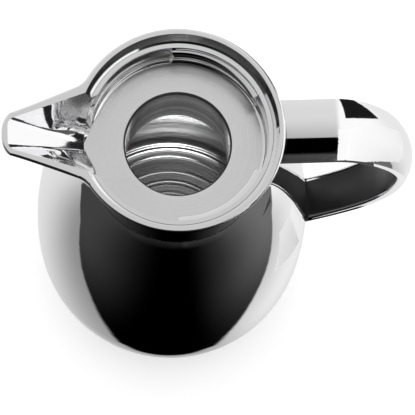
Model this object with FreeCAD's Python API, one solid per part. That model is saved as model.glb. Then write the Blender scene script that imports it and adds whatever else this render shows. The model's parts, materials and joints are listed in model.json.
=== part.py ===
import FreeCAD, Part
import math
import os

# Thermal carafe: a double-walled steel flask with a spouted collar and an open handle.
# Millimetres, +Z up, +X towards the handle, -X towards the spout.
# The origin is the centre of the underside, on the surface that the carafe stands on.

V = FreeCAD.Vector
AXIS = V(0, 0, 1)

# Body shell, floor to shoulder
SHOULDER_HEIGHT = 156.8     # flat ledge that the collar stands on
SHOULDER_RADIUS = 36.5      # outer edge of that ledge
BODY_RADIUS = 61.5          # widest part of the belly
BODY_WIDEST_HEIGHT = 51.0
BASE_RADIUS = 46.0          # rolled bottom edge of the shell
BASE_EDGE_HEIGHT = 2.6      # shell edge above the floor
BASE_EDGE_BAND = 2.4        # straight band above that edge
SHELL_WALL = 0.8
NECK_RADIUS = 29.0          # outside of the shell's neck, inside the collar
NECK_HEIGHT = 19.0          # neck above the ledge

# Fullness of the body's curves, as shares of the stretch that each one spans
SHOULDER_TOP_SPREAD = 0.66
SHOULDER_TOP_FALL = 0.10
SHOULDER_SIDE_RISE = 0.41
BELLY_SIDE_FALL = 0.46
BELLY_FOOT_SPREAD = 0.72
BELLY_FOOT_RISE = 0.17
FLASK_TOP_SPREAD = 0.55
FLASK_TOP_FALL = 0.02
FLASK_SIDE_RISE = 0.22

# Inner flask
MOUTH_RADIUS = 21.6         # clear bore of the throat
FLASK_WALL = 0.7
FLASK_GAP = 5.6             # evacuated space beside the belly
FLASK_FLOOR_HEIGHT = 19.0   # underside of the flask's bottom pressing at its edge
THROAT_LENGTH = 27.0        # straight throat under the lip
FLOOR_DOME_RISE = 5.0       # the flask's floor rises towards its middle
FLOOR_RING_RADIUS = 20.0    # step pressed in that floor
FLOOR_RING_RISE = 1.6
FLOOR_FOOT_SHARE = 0.6      # part of the dome's rise outside that step
FLASK_CORNER_SHARE = 0.75   # part of the bottom pressing's height in its round corner
FLASK_CORNER_FULLNESS = 0.6
FOIL_THICKNESS = 0.3
FOIL_SPACE = 0.25
FOIL_TURN_UP = 1.0          # foil that runs up the throat
GETTER_RADIUS = 8.0
GETTER_HEIGHT = 3.0

# Base
BASE_PLATE_DEPTH = 7.0      # recess of the welded base plate above the shell's edge
BASE_PLATE_WALL = 0.8
PORT_RADIUS = 2.5           # evacuation port in the base plate
PORT_PLUG_HEAD = 4.5
PORT_PLUG_TIP = 2.7
PORT_PLUG_HEIGHT = 2.0
BASE_COVER_THICKNESS = 2.2
BASE_COVER_LIP = 4.0        # height of the cover's upstanding clip rim
FOOT_PAD_RADIUS = 40.0
FOOT_PAD_THICKNESS = 2.0
FOOT_PAD_RECESS = 1.0       # how deep the pad sits in the cover
FOOT_PAD_BEVEL = 0.6

# Collar
COLLAR_HEIGHT = 40.0
RIM_RADIUS = 43.0
LIP_WIDTH = 2.6             # flat rim between the outer wall and the bowl
LIP_ROUND = 0.9             # outer edge of that rim
COLLAR_WALL = 1.2           # thinnest wall, beside the pour ring
COLLAR_FLANGE = 3.0
LEDGE_DEPTH = 5.6           # top of the lid ring below the rim
POUR_DEPTH = 20.2           # pour ring below the rim
POUR_RING_THICKNESS = 1.2
POUR_RING_HOLE_MARGIN = 0.7 # the seal shows this much inside the pour ring's hole
LID_RING_WIDTH = 1.9        # lid ring's top ledge
LID_RING_TAPER = 1.6        # how far its wall leans in towards the pour ring
LUG_WIDTH = 2.4             # bayonet lugs inside the lid ring
LUG_DROP = 3.0              # lug top below the ledge
LUG_HEIGHT = 5.0
LUG_START = 26.0            # degrees from the handle
LUG_END = 92.0
COLLAR_NUT_HEIGHT = 6.0
COLLAR_NUT_WALL = 4.6
GASKET_THICKNESS = 1.2
SEAL_WIDTH = 5.4

# Spout
SPOUT_REACH = 71.0          # tip from the carafe's axis
SPOUT_TIP_WIDTH = 17.0
SPOUT_ROOT_WIDTH = 43.0     # where the spout leaves the collar
SPOUT_TIP_DEPTH = 4.2
SPOUT_ROOT_DEPTH = 29.0
SPOUT_KEEL_WIDTH = 13.0     # underside
SPOUT_TIP_ROUND = 11.0
KEEL_ROUND = 5.0
CHANNEL_ROOT_WIDTH = 32.6   # between the spout's inner lips, where they leave the bowl
CHANNEL_TIP_ROUND = 3.6
DROP_REACH = 38.2           # point of the drop-shaped floor that the channel rises from
DROP_ROUND = 5.0
ROOT_WIDTH_REACH = 37.0     # where both root widths are measured, from the axis
SPOUT_START = 29.2          # inner end of the spout's form, buried in the collar
SPOUT_BLEND = 8.0           # hollow where the spout runs into the collar

# Handle
ARM_WIDTH = 26.1
ARM_THICKNESS = 7.8
ARM_DROP = 2.3              # crown of the arm below the rim
ARM_BEND_START = 63.5       # where the straight arm ends, from the axis
HANDLE_REACH = 92.5         # inside of the bend, from the axis
BEND_DROP = 38.0            # furthest point of the bend below the arm's inner face
HANDLE_DROP = 100.5         # lower end below the arm's inner face
END_SINK = 2.4              # how far the lower end's inner line runs inside the body's widest radius
END_WIDTH = 19.3
END_THICKNESS = 7.3
BEND_TOP_FULLNESS = 0.42    # fullness of the handle's curves, as shares of each stretch
BEND_SIDE_FULLNESS = 0.55
LOWER_TOP_FULLNESS = 0.46
LOWER_END_SPREAD = 0.62
LOWER_END_RISE = 0.27
CROWN_SHARE = 0.52          # part of the thickness that is crowned
HANDLE_EDGE_ROUND = 1.2
INLAY_THICKNESS = 1.6
INLAY_MARGIN = 1.9          # metal edge left beside the inlay
INLAY_START = 52.0          # from the axis, clear of the arm's screws
GROOVE_OPEN_SHARE = 0.75    # how far the groove's cut opens into the bend, as a share of its tightest radius
PAD_THICKNESS = 1.2
SCREW_RADIUS = 1.5
SCREW_HEAD_RADIUS = 2.3
SCREW_HEAD_HEIGHT = 1.2
ARM_SCREW_LENGTH = 11.0
ARM_SCREW_SPACING = 14.0
ARM_SCREW_DROP = 8.2        # below the rim, behind the lid ring
PEG_RADIUS = 1.9
PEG_LENGTH = 12.0           # peg past the end of the handle's inner line

# Clearances
SEAT = 0.1                  # between pieces that are pushed together
LOOSE = 0.3                 # between pieces that are screwed over each other

# Levels and radii that follow
NECK_TOP = SHOULDER_HEIGHT + NECK_HEIGHT
COLLAR_FOOT = SHOULDER_HEIGHT + GASKET_THICKNESS
RIM = COLLAR_FOOT + COLLAR_HEIGHT
POUR_LEVEL = RIM - POUR_DEPTH
SHELF = POUR_LEVEL - POUR_RING_THICKNESS
LEDGE = RIM - LEDGE_DEPTH
ARM_INNER = RIM - ARM_DROP - ARM_THICKNESS
HANDLE_END = ARM_INNER - HANDLE_DROP


def collar_radius(height):
    """Outer radius of the tapered collar wall at a height."""
    share = (height - COLLAR_FOOT) / COLLAR_HEIGHT
    return SHOULDER_RADIUS + share * (RIM_RADIUS - SHOULDER_RADIUS)


POCKET_RADIUS = collar_radius(SHELF) - COLLAR_WALL
LID_RING_TOP = POCKET_RADIUS - LID_RING_WIDTH
LID_RING_FOOT = LID_RING_TOP - LID_RING_TAPER
THROAT_OUTER = MOUTH_RADIUS + FLASK_WALL


def spot(point):
    """A (radius, height) pair in the XZ plane."""
    return V(point[0], 0, point[1])


def line(start, end):
    return Part.makeLine(spot(start), spot(end))


def bezier(points):
    curve = Part.BezierCurve()
    curve.setPoles([spot(point) for point in points])
    return curve.toShape()


def spin(edges):
    """Solid of revolution from a closed outline in the XZ plane."""
    face = Part.Face(Part.Wire(Part.__sortEdges__(edges)))
    return face.revolve(V(0, 0, 0), AXIS, 360)


def turned(points):
    """Solid of revolution from a closed polygon of (radius, height) points."""
    closed = points + points[:1]
    return spin([line(a, b) for a, b in zip(closed, closed[1:])])


def tube(inner, outer, low, high):
    return turned([(inner, low), (outer, low), (outer, high), (inner, high)])


def disc(radius, low, high):
    return Part.makeCylinder(radius, high - low, V(0, 0, low))


def crossing(first, first_way, second, second_way):
    """Where two lines in the (radius, height) plane cross."""
    across = first_way[0] * second_way[1] - first_way[1] * second_way[0]
    dx = second[0] - first[0]
    dz = second[1] - first[1]
    reach = (dx * second_way[1] - dz * second_way[0]) / across
    return (first[0] + reach * first_way[0], first[1] + reach * first_way[1])


def inset(points, distance):
    """Control polygon of a Bezier curve moved inwards, towards the axis, by a distance."""
    legs = []
    for a, b in zip(points, points[1:]):
        length = math.hypot(b[0] - a[0], b[1] - a[1])
        way = ((b[0] - a[0]) / length, (b[1] - a[1]) / length)
        side = (way[1], -way[0])
        legs.append(((a[0] + distance * side[0], a[1] + distance * side[1]), way, side))
    moved = [legs[0][0]]
    for before, after in zip(legs, legs[1:]):
        moved.append(crossing(before[0], before[1], after[0], after[1]))
    last = legs[-1][2]
    end = points[-1]
    moved.append((end[0] + distance * last[0], end[1] + distance * last[1]))
    return moved


# Outline of the body from the ledge down to the widest part, and on to the bottom edge.
# The inner handles of each curve are shares of the stretch that it spans.
SHOULDER_FALL = SHOULDER_HEIGHT - BODY_WIDEST_HEIGHT
SHOULDER_SPREAD = BODY_RADIUS - SHOULDER_RADIUS
BASE_TOP = BASE_EDGE_HEIGHT + BASE_EDGE_BAND
BELLY_FALL = BODY_WIDEST_HEIGHT - BASE_TOP
BELLY_SPREAD = BODY_RADIUS - BASE_RADIUS
SHOULDER_LINE = [
    (SHOULDER_RADIUS, SHOULDER_HEIGHT),
    (
        SHOULDER_RADIUS + SHOULDER_TOP_SPREAD * SHOULDER_SPREAD,
        SHOULDER_HEIGHT - SHOULDER_TOP_FALL * SHOULDER_FALL,
    ),
    (BODY_RADIUS, SHOULDER_HEIGHT - SHOULDER_SIDE_RISE * SHOULDER_FALL),
    (BODY_RADIUS, BODY_WIDEST_HEIGHT),
]
BELLY_LINE = [
    (BODY_RADIUS, BODY_WIDEST_HEIGHT),
    (BODY_RADIUS, BODY_WIDEST_HEIGHT - BELLY_SIDE_FALL * BELLY_FALL),
    (BASE_RADIUS + BELLY_FOOT_SPREAD * BELLY_SPREAD, BASE_TOP + BELLY_FOOT_RISE * BELLY_FALL),
    (BASE_RADIUS, BASE_TOP),
]


def body_solid(grow):
    """The whole body as one solid, outside its shell by a distance, from the floor to the ledge."""
    upper = inset(SHOULDER_LINE, -grow)
    lower = inset(BELLY_LINE, -grow)
    top = (0, upper[0][1])
    foot = (lower[-1][0], 0)
    edges = [line(top, upper[0]), bezier(upper), bezier(lower)]
    edges += [line(lower[-1], foot), line(foot, (0, 0)), line((0, 0), top)]
    return spin(edges)


def outer_shell():
    """Polished outer shell: neck, ledge, shoulder, belly and bottom edge in one pressing."""
    upper = inset(SHOULDER_LINE, SHELL_WALL)
    lower = inset(BELLY_LINE, SHELL_WALL)
    ledge_under = SHOULDER_HEIGHT - SHELL_WALL
    bore = NECK_RADIUS - SHELL_WALL
    upper[0] = (SHOULDER_RADIUS - SHELL_WALL, ledge_under)
    lower[-1] = (BASE_RADIUS - SHELL_WALL, BASE_TOP)
    foot_out = (BASE_RADIUS, BASE_EDGE_HEIGHT)
    foot_in = (BASE_RADIUS - SHELL_WALL, BASE_EDGE_HEIGHT)
    edges = [
        line((bore, NECK_TOP), (NECK_RADIUS, NECK_TOP)),
        line((NECK_RADIUS, NECK_TOP), (NECK_RADIUS, SHOULDER_HEIGHT)),
        line((NECK_RADIUS, SHOULDER_HEIGHT), SHOULDER_LINE[0]),
        bezier(SHOULDER_LINE),
        bezier(BELLY_LINE),
        line(BELLY_LINE[-1], foot_out),
        line(foot_out, foot_in),
        line(foot_in, lower[-1]),
        bezier(lower),
        bezier(upper),
        line(upper[0], (bore, ledge_under)),
        line((bore, ledge_under), (bore, NECK_TOP)),
    ]
    return spin(edges)


# Flask wall: the throat, then a shoulder and belly at the evacuated gap inside the shell.
THROAT_FOOT = NECK_TOP - THROAT_LENGTH
FLASK_RADIUS = BODY_RADIUS - SHELL_WALL - FLASK_GAP
FLASK_TURN = BODY_WIDEST_HEIGHT
FLASK_SPREAD = FLASK_RADIUS - THROAT_OUTER
FLASK_FALL = THROAT_FOOT - FLASK_TURN
FLASK_LINE = [
    (THROAT_OUTER, THROAT_FOOT),
    (THROAT_OUTER + FLASK_TOP_SPREAD * FLASK_SPREAD, THROAT_FOOT - FLASK_TOP_FALL * FLASK_FALL),
    (FLASK_RADIUS, THROAT_FOOT - FLASK_SIDE_RISE * FLASK_FALL),
    (FLASK_RADIUS, FLASK_TURN),
]


def flask_wall(outline, wall, throat_top, foot):
    """A wall that follows the flask's outline, from the throat's top to its foot."""
    inner = inset(outline, wall)
    inner[0] = (outline[0][0] - wall, outline[0][1])
    out_top = (outline[0][0], throat_top)
    in_top = (inner[0][0], throat_top)
    out_foot = (outline[-1][0], foot)
    in_foot = (inner[-1][0], foot)
    edges = [
        line(in_top, out_top),
        line(out_top, outline[0]),
        bezier(outline),
        line(outline[-1], out_foot),
        line(out_foot, in_foot),
        line(in_foot, inner[-1]),
        bezier(inner),
        line(inner[0], in_top),
    ]
    return spin(edges)


FLASK_SEAM = 0.5 * (FLASK_FLOOR_HEIGHT + FLASK_TURN)
FLASK_CROWN = FLASK_FLOOR_HEIGHT + FLOOR_DOME_RISE + FLOOR_RING_RISE


def inner_flask():
    """Steel inner flask with its throat, open below where the bottom pressing is welded on."""
    return flask_wall(FLASK_LINE, FLASK_WALL, NECK_TOP, FLASK_SEAM)


def flask_bottom():
    """Domed bottom of the flask, with a pressed ring, butted to the wall at the seam."""
    floor = FLASK_FLOOR_HEIGHT
    corner = FLASK_CORNER_SHARE * (FLASK_SEAM - floor)
    reach = FLASK_CORNER_FULLNESS * corner
    start = floor + corner - reach
    flat = FLASK_RADIUS - corner
    ring = FLOOR_RING_RADIUS
    step = floor + FLOOR_FOOT_SHARE * FLOOR_DOME_RISE
    ring_top = (ring - FLOOR_RING_RISE, step + FLOOR_RING_RISE)
    outside = [(FLASK_RADIUS, FLASK_SEAM), (FLASK_RADIUS, start), (flat + reach, floor), (flat, floor)]
    inner_radius = FLASK_RADIUS - FLASK_WALL
    inner_floor = floor + FLASK_WALL
    inside = [(inner_radius, FLASK_SEAM), (inner_radius, start + FLASK_WALL)]
    inside += [(flat + reach - FLASK_WALL, inner_floor), (flat, inner_floor)]

    def lifted(point):
        return (point[0], point[1] + FLASK_WALL)

    under = [(flat, floor), (ring, step), ring_top, (0, FLASK_CROWN)]
    over = [lifted(point) for point in under]
    edges = [bezier(outside), line(outside[0], inside[0]), bezier(inside)]
    edges += [line(a, b) for a, b in zip(under, under[1:])]
    edges += [line(a, b) for a, b in zip(over, over[1:])]
    edges.append(line(under[-1], over[-1]))
    return spin(edges)


def flask_foil():
    """Bright foil sleeve round the flask, which holds back radiated heat."""
    outline = inset(FLASK_LINE, -(FOIL_SPACE + FOIL_THICKNESS))
    start = FLASK_LINE[0][0] + FOIL_SPACE + FOIL_THICKNESS
    outline[0] = (start, FLASK_LINE[0][1])
    return flask_wall(outline, FOIL_THICKNESS, THROAT_FOOT + FOIL_TURN_UP, FLASK_SEAM)


def getter_cup():
    """Getter pressed into the underside of the flask's floor, inside the vacuum."""
    rise = (1 - FLOOR_FOOT_SHARE) * FLOOR_DOME_RISE
    slope = rise / (FLOOR_RING_RADIUS - FLOOR_RING_RISE)
    edge = FLASK_CROWN - slope * GETTER_RADIUS
    foot = edge - GETTER_HEIGHT
    return turned([(0, foot), (GETTER_RADIUS, foot), (GETTER_RADIUS, edge), (0, FLASK_CROWN)])


def neck_ring():
    """Ring that closes the vacuum between the two necks at the lip."""
    return tube(THROAT_OUTER, NECK_RADIUS - SHELL_WALL, NECK_TOP - 2 * FLASK_WALL, NECK_TOP)


PLATE_RADIUS = BASE_RADIUS - SHELL_WALL
PLATE_TOP = BASE_EDGE_HEIGHT + BASE_PLATE_DEPTH


def vacuum_base():
    """Welded base plate of the shell, with a rim against the shell's edge and a port in its middle."""
    inner = PLATE_RADIUS - BASE_PLATE_WALL
    bevel = PLATE_TOP - BASE_TOP
    mitre = BASE_PLATE_WALL * math.tan(math.radians(22.5))
    outline = [
        (PLATE_RADIUS, BASE_EDGE_HEIGHT),
        (PLATE_RADIUS, BASE_TOP),
        (PLATE_RADIUS - bevel, PLATE_TOP),
        (PORT_RADIUS, PLATE_TOP),
        (PORT_RADIUS, PLATE_TOP - BASE_PLATE_WALL),
        (PLATE_RADIUS - bevel - mitre, PLATE_TOP - BASE_PLATE_WALL),
        (inner, BASE_TOP - mitre),
        (inner, BASE_EDGE_HEIGHT),
    ]
    return turned(outline)


def vacuum_plug():
    """Brazed plug that seals the evacuation port from below."""
    seat = PLATE_TOP - BASE_PLATE_WALL
    return turned([
        (0, seat - PORT_PLUG_HEIGHT),
        (PORT_PLUG_TIP, seat - PORT_PLUG_HEIGHT),
        (PORT_PLUG_HEAD, seat),
        (PORT_RADIUS, seat),
        (PORT_RADIUS, PLATE_TOP),
        (0, PLATE_TOP),
    ])


COVER_UNDER = FOOT_PAD_THICKNESS - FOOT_PAD_RECESS
COVER_RADIUS = PLATE_RADIUS - BASE_PLATE_WALL - SEAT


def base_cover():
    """Plastic cover clipped into the bottom, recessed below for the foot pad."""
    cover = disc(COVER_RADIUS, COVER_UNDER, COVER_UNDER + BASE_COVER_THICKNESS)
    rim_wall = BASE_COVER_THICKNESS
    rim_top = min(COVER_UNDER + BASE_COVER_LIP, BASE_TOP - BASE_PLATE_WALL)
    cover = cover.fuse(tube(COVER_RADIUS - rim_wall, COVER_RADIUS, COVER_UNDER, rim_top))
    cover = cover.cut(disc(FOOT_PAD_RADIUS + SEAT, COVER_UNDER, COVER_UNDER + FOOT_PAD_RECESS))
    return cover.removeSplitter()


def foot_pad():
    """Rubber pad that the carafe stands on."""
    pad = disc(FOOT_PAD_RADIUS, 0, FOOT_PAD_THICKNESS)
    return pad.makeChamfer(FOOT_PAD_BEVEL, [pad.Edges[edge_at(pad, 0)]])


def edge_at(shape, height):
    """Index of the closed edge that lies flat at a height."""
    for index, edge in enumerate(shape.Edges):
        box = edge.BoundBox
        if abs(box.ZMin - height) < 1e-6 and abs(box.ZMax - height) < 1e-6:
            return index
    raise ValueError("no edge at that height")


def rounded_wire(corners, radii):
    """Closed wire through corner points, each rounded by its own radius, or sharp where it is 0."""
    count = len(corners)
    pieces = []
    starts = []
    ends = []
    for index, here in enumerate(corners):
        back = (corners[index - 1] - here).normalize()
        on = (corners[(index + 1) % count] - here).normalize()
        half = 0.5 * back.getAngle(on)
        radius = radii[index]
        first = here + back * (radius / math.tan(half))
        last = here + on * (radius / math.tan(half))
        if radius > 0:
            centre = here + (back + on).normalize() * (radius / math.sin(half))
            middle = centre + (here - centre).normalize() * radius
            pieces.append(Part.Arc(first, middle, last).toShape())
        starts.append(first)
        ends.append(last)
    for index in range(count):
        pieces.append(Part.makeLine(ends[index], starts[(index + 1) % count]))
    return Part.Wire(Part.__sortEdges__(pieces))


def trough(reach, half_rim, half_floor, depth, round_floor):
    """Section across the spout: flat floor, rounded floor corners, sides that lean out.

    The sides run on past the rim, and half_rim is the half width where they cross it.
    """
    floor = RIM - depth
    top = RIM + LEDGE_DEPTH
    half_top = half_rim + (half_rim - half_floor) * LEDGE_DEPTH / max(depth, LEDGE_DEPTH)
    corners = [(-half_top, top), (-half_floor, floor), (half_floor, floor), (half_top, top)]
    return rounded_wire([V(-reach, y, z) for y, z in corners], [0, round_floor, round_floor, 0])


# The spout's plan: straight sides that run from the collar to the tip.
CHANNEL_TIP = SPOUT_REACH - LIP_WIDTH
CHANNEL_TIP_WIDTH = SPOUT_TIP_WIDTH - 2 * LIP_WIDTH


def half_width(reach, root_width, tip, tip_width):
    """Half width at a distance from the axis of a plan that narrows evenly to its tip."""
    share = (reach - ROOT_WIDTH_REACH) / (tip - ROOT_WIDTH_REACH)
    return 0.5 * (root_width + share * (tip_width - root_width))


def spout_outside():
    """Outer form of the spout, from inside the collar wall to the tip, with straight sides in plan."""
    keel = 0.5 * SPOUT_KEEL_WIDTH
    half_start = half_width(SPOUT_START, SPOUT_ROOT_WIDTH, SPOUT_REACH, SPOUT_TIP_WIDTH)
    half_tip = 0.5 * SPOUT_TIP_WIDTH
    tip_round = min(KEEL_ROUND, 0.5 * SPOUT_TIP_DEPTH)
    start = trough(SPOUT_START, half_start, keel, SPOUT_ROOT_DEPTH, KEEL_ROUND)
    tip = trough(SPOUT_REACH, half_tip, keel, SPOUT_TIP_DEPTH, tip_round)
    form = Part.makeLoft([start, tip], True, True)
    corners = [
        V(-SPOUT_START, -half_start, COLLAR_FOOT),
        V(-SPOUT_START, half_start, COLLAR_FOOT),
        V(-SPOUT_REACH, half_tip, COLLAR_FOOT),
        V(-SPOUT_REACH, -half_tip, COLLAR_FOOT),
    ]
    plan = Part.Face(rounded_wire(corners, [0, 0, SPOUT_TIP_ROUND, SPOUT_TIP_ROUND]))
    return form.common(plan.extrude(V(0, 0, COLLAR_HEIGHT)))


def spout_channel(grow):
    """Hollow of the spout: it rises from a drop-shaped floor in the bowl to the inner edge of the lips."""
    radius = LID_RING_FOOT + grow
    tip_round = DROP_ROUND + grow
    middle = DROP_REACH - DROP_ROUND
    lean = math.acos((radius - tip_round) / middle)

    def on_tip(angle):
        return V(-middle - tip_round * math.cos(angle), tip_round * math.sin(angle), POUR_LEVEL)

    def tip_arc(start, end):
        return Part.Arc(on_tip(start), on_tip(0.5 * (start + end)), on_tip(end)).toShape()

    root = radius * math.cos(lean)
    root_half = radius * math.sin(lean)
    drop = Part.Wire([
        Part.makeLine(V(-root, root_half, POUR_LEVEL), on_tip(lean)),
        tip_arc(lean, lean / 3),
        tip_arc(lean / 3, -lean / 3),
        tip_arc(-lean / 3, -lean),
        Part.makeLine(on_tip(-lean), V(-root, -root_half, POUR_LEVEL)),
        Part.makeLine(V(-root, -root_half, POUR_LEVEL), V(-root, root_half, POUR_LEVEL)),
    ])
    tip = CHANNEL_TIP + grow
    tip_half = 0.5 * CHANNEL_TIP_WIDTH + grow
    lip_half = half_width(root, CHANNEL_ROOT_WIDTH, CHANNEL_TIP, CHANNEL_TIP_WIDTH) + grow
    corners = [V(-root, lip_half, RIM), V(-tip, tip_half, RIM)]
    corners += [V(-tip, -tip_half, RIM), V(-root, -lip_half, RIM)]
    lips = rounded_wire(corners, [0, CHANNEL_TIP_ROUND, CHANNEL_TIP_ROUND, 0])
    above = Part.Face(lips).extrude(V(0, 0, LEDGE_DEPTH))
    return Part.makeLoft([drop, lips], True, True).fuse(above)


def collar_outside():
    """Outer form of the collar alone, as a full round."""
    return turned([(0, COLLAR_FOOT), (SHOULDER_RADIUS, COLLAR_FOOT), (RIM_RADIUS, RIM), (0, RIM)])


def cone_edges(solid, behind):
    """Edges of a solid's conical faces that lie wholly on the spout's side of a plane."""
    found = []
    for face in solid.Faces:
        if face.Surface.TypeId == "Part::GeomCone":
            found += [edge for edge in face.Edges if edge.BoundBox.XMax < -behind]
    return found


def rim_edges(solid):
    """Edges of the flat rim face."""
    for face in solid.Faces:
        box = face.BoundBox
        if box.ZLength < 1e-6 and abs(box.ZMax - RIM) < 1e-6:
            return face.Edges
    raise ValueError("no flat rim")


def spout_collar():
    """Collar casting: tapered wall, flat lip, spout, shelf for the pour ring and bottom flange."""
    outside = collar_outside().fuse(spout_outside()).removeSplitter()
    outside = outside.makeFillet(SPOUT_BLEND, cone_edges(outside, 0.5 * RIM_RADIUS))
    outside = outside.makeFillet(LIP_ROUND, rim_edges(outside))
    flange_top = COLLAR_FOOT + COLLAR_FLANGE
    nut_room = NECK_RADIUS + COLLAR_NUT_WALL + LOOSE
    shelf_edge = LID_RING_FOOT
    flare = (RIM_RADIUS - LIP_WIDTH - POCKET_RADIUS) / LEDGE_DEPTH
    bowl = turned([
        (0, COLLAR_FOOT),
        (NECK_RADIUS + LOOSE, COLLAR_FOOT),
        (NECK_RADIUS + LOOSE, flange_top),
        (nut_room, flange_top),
        (nut_room, flange_top + COLLAR_NUT_HEIGHT + LOOSE),
        (shelf_edge, SHELF - COLLAR_WALL),
        (shelf_edge, SHELF),
        (POCKET_RADIUS, SHELF),
        (POCKET_RADIUS, LEDGE),
        (POCKET_RADIUS + 2 * flare * LEDGE_DEPTH, RIM + LEDGE_DEPTH),
        (0, RIM + LEDGE_DEPTH),
    ])
    solid = outside.cut(bowl).cut(spout_channel(0))
    return without_arm_screws(solid, SEAT)


def lid_ring():
    """Stepped ring in the bowl with two lugs for a twist-in lid, open towards the spout."""
    inner_foot = LID_RING_FOOT
    outer = POCKET_RADIUS - SEAT
    ring = turned([(inner_foot, POUR_LEVEL), (outer, POUR_LEVEL), (outer, LEDGE), (LID_RING_TOP, LEDGE)])
    lug_top = LEDGE - LUG_DROP
    lug_foot = lug_top - LUG_HEIGHT
    fall = LEDGE - POUR_LEVEL

    def wall_at(height):
        return LID_RING_TOP - LID_RING_TAPER * (LEDGE - height) / fall

    top = wall_at(lug_top)
    foot = wall_at(lug_foot)
    outline = [(top - LUG_WIDTH, lug_top), (outer, lug_top), (outer, lug_foot), (foot - LUG_WIDTH, lug_foot)]
    closed = outline + outline[:1]
    face = Part.Face(Part.Wire([line(a, b) for a, b in zip(closed, closed[1:])]))
    for start in (LUG_START, -LUG_END):
        lug = face.copy()
        lug.rotate(V(0, 0, 0), AXIS, start)
        ring = ring.fuse(lug.revolve(V(0, 0, 0), AXIS, LUG_END - LUG_START))
    ring = ring.cut(spout_channel(SEAT))
    return ring.removeSplitter()


def pour_ring():
    """Flat ring round the mouth that leads the drink to the spout."""
    hole = MOUTH_RADIUS + POUR_RING_HOLE_MARGIN
    return tube(hole, POCKET_RADIUS - SEAT, SHELF, POUR_LEVEL)


def mouth_seal():
    """Soft ring between the flask's lip and the pour ring."""
    return tube(MOUTH_RADIUS, MOUTH_RADIUS + SEAL_WIDTH, NECK_TOP, SHELF)


def collar_nut():
    """Nut on the flask's neck that holds the collar's flange down."""
    foot = COLLAR_FOOT + COLLAR_FLANGE
    return tube(NECK_RADIUS + SEAT, NECK_RADIUS + COLLAR_NUT_WALL, foot, foot + COLLAR_NUT_HEIGHT)


def shoulder_gasket():
    """Flat gasket between the body's ledge and the collar."""
    return tube(NECK_RADIUS + SEAT, SHOULDER_RADIUS, SHOULDER_HEIGHT, COLLAR_FOOT)


# The handle's inner face as a line in the XZ plane: straight arm, round bend, sloping lower arm.
BEND_SPREAD = HANDLE_REACH - ARM_BEND_START
BEND_LINE = [
    (ARM_BEND_START, ARM_INNER),
    (ARM_BEND_START + BEND_TOP_FULLNESS * BEND_SPREAD, ARM_INNER),
    (HANDLE_REACH, ARM_INNER - BEND_SIDE_FULLNESS * BEND_DROP),
    (HANDLE_REACH, ARM_INNER - BEND_DROP),
]
# The bend is tightest where it leaves the straight arm.
BEND_TIGHTEST = 1.5 * (BEND_TOP_FULLNESS * BEND_SPREAD) ** 2 / (BEND_SIDE_FULLNESS * BEND_DROP)
LOWER_REACH = BODY_RADIUS - END_SINK
LOWER_SPREAD = HANDLE_REACH - LOWER_REACH
LOWER_FALL = HANDLE_DROP - BEND_DROP
LOWER_LINE = [
    (HANDLE_REACH, ARM_INNER - BEND_DROP),
    (HANDLE_REACH, ARM_INNER - BEND_DROP - LOWER_TOP_FULLNESS * LOWER_FALL),
    (LOWER_REACH + LOWER_END_SPREAD * LOWER_SPREAD, HANDLE_END + LOWER_END_RISE * LOWER_FALL),
    (LOWER_REACH, HANDLE_END),
]
BEND_STATIONS = 8
LOWER_STATIONS = 7


def along(points, share):
    """Point and direction on a cubic Bezier line."""
    a, b, c, d = [V(point[0], 0, point[1]) for point in points]
    rest = 1 - share
    place = a * rest**3 + b * (3 * rest**2 * share) + c * (3 * rest * share**2) + d * share**3
    way = (b - a) * rest**2 + (c - b) * (2 * rest * share) + (d - c) * share**2
    return place, way.normalize()


def crowned_section(place, way, width, thickness):
    """Handle section at a point of its inner face: flat inside, crowned outside."""
    out = V(-way.z, 0, way.x)
    half = 0.5 * width
    edge = HANDLE_EDGE_ROUND
    shoulder = thickness * (1 - CROWN_SHARE)
    knee = edge * (1 - math.sqrt(0.5))

    def at(y, rise):
        return place + V(0, y, 0) + out * rise

    flat_left = at(-half + edge, 0)
    flat_right = at(half - edge, 0)
    side_right = at(half, edge)
    side_left = at(-half, edge)
    top_right = at(half, shoulder)
    top_left = at(-half, shoulder)
    return Part.Wire([
        Part.makeLine(flat_left, flat_right),
        Part.Arc(flat_right, at(half - knee, knee), side_right).toShape(),
        Part.makeLine(side_right, top_right),
        Part.Arc(top_right, at(0, thickness), top_left).toShape(),
        Part.makeLine(top_left, side_left),
        Part.Arc(side_left, at(-half + knee, knee), flat_left).toShape(),
    ])


def inlay_section(place, way, width, low, high):
    """Flat band section on the handle's inner face."""
    out = V(-way.z, 0, way.x)
    half = 0.5 * width - INLAY_MARGIN
    corners = [(-half, low), (half, low), (half, high), (-half, high)]
    points = [place + V(0, y, 0) + out * rise for y, rise in corners]
    return Part.makePolygon(points + points[:1])


def handle_stations():
    """Places along the bend and the lower arm, with the width and thickness there."""
    stations = []
    total = BEND_STATIONS + LOWER_STATIONS
    for index in range(BEND_STATIONS + 1):
        stations.append((along(BEND_LINE, index / BEND_STATIONS), index / total))
    for index in range(1, LOWER_STATIONS + 1):
        stations.append((along(LOWER_LINE, index / LOWER_STATIONS), (BEND_STATIONS + index) / total))
    sized = []
    for (place, way), share in stations:
        ease = share * share * (3 - 2 * share)
        width = ARM_WIDTH + ease * (END_WIDTH - ARM_WIDTH)
        thickness = ARM_THICKNESS + ease * (END_THICKNESS - ARM_THICKNESS)
        sized.append((place, way, width, thickness))
    place, way, width, thickness = sized[-1]
    sized.append((place + way * (2 * END_THICKNESS), way, width, thickness))
    return sized


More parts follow.
